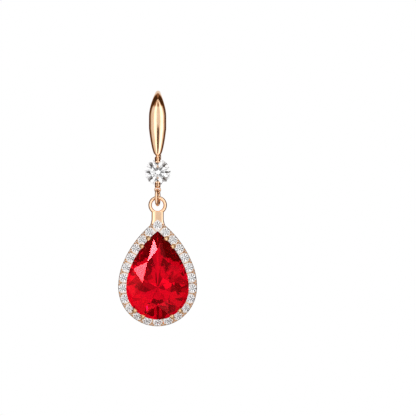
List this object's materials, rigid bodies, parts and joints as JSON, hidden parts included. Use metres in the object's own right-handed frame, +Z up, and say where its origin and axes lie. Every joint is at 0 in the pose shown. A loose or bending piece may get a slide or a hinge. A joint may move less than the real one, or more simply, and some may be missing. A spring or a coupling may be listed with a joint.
{
  "type": "teardrop drop earring",
  "caption": "Fish-hook drop earring: polished leaf, round white stone, small link and a red teardrop stone in a pave halo",
  "frame": {"origin": "inside the top of the hook's bow, where it hangs in the ear", "axes": "+Z up, the front of the earring faces -Y, +X to the viewer's right"},
  "size_m": [0.0124, 0.0114, 0.0375],
  "materials": {
    "gold": "polished rose-gold plate",
    "white_stone": "faceted clear stone",
    "red_stone": "faceted red stone"
  },
  "bodies": {
    "hook": {"ear_hook": "gold", "round_stone": "white_stone"},
    "link": {"jump_link": "gold"},
    "drop": {"halo_setting": "gold", "teardrop_stone": "red_stone", "halo_stone_01": "white_stone", "halo_stone_02": "white_stone", "halo_stone_03": "white_stone", "halo_stone_04": "white_stone", "halo_stone_05": "white_stone", "halo_stone_06": "white_stone", "halo_stone_07": "white_stone", "halo_stone_08": "white_stone", "halo_stone_09": "white_stone", "halo_stone_10": "white_stone", "halo_stone_11": "white_stone", "halo_stone_12": "white_stone", "halo_stone_13": "white_stone", "halo_stone_14": "white_stone", "halo_stone_15": "white_stone", "halo_stone_16": "white_stone", "halo_stone_17": "white_stone", "halo_stone_18": "white_stone", "halo_stone_19": "white_stone", "halo_stone_20": "white_stone", "halo_stone_21": "white_stone", "halo_stone_22": "white_stone", "halo_stone_23": "white_stone", "halo_stone_24": "white_stone"}
  },
  "joints": [
    {"name": "link_swing", "type": "hinge", "parent": "hook", "child": "link", "pos_m": [0, -0.00341, -0.01512], "axis": [0, 1, 0], "range_deg": [-25, 25]},
    {"name": "drop_swing", "type": "hinge", "parent": "link", "child": "drop", "pos_m": [0, -0.00341, -0.01637], "axis": [1, 0, 0], "range_deg": [-35, 35]}
  ]
}
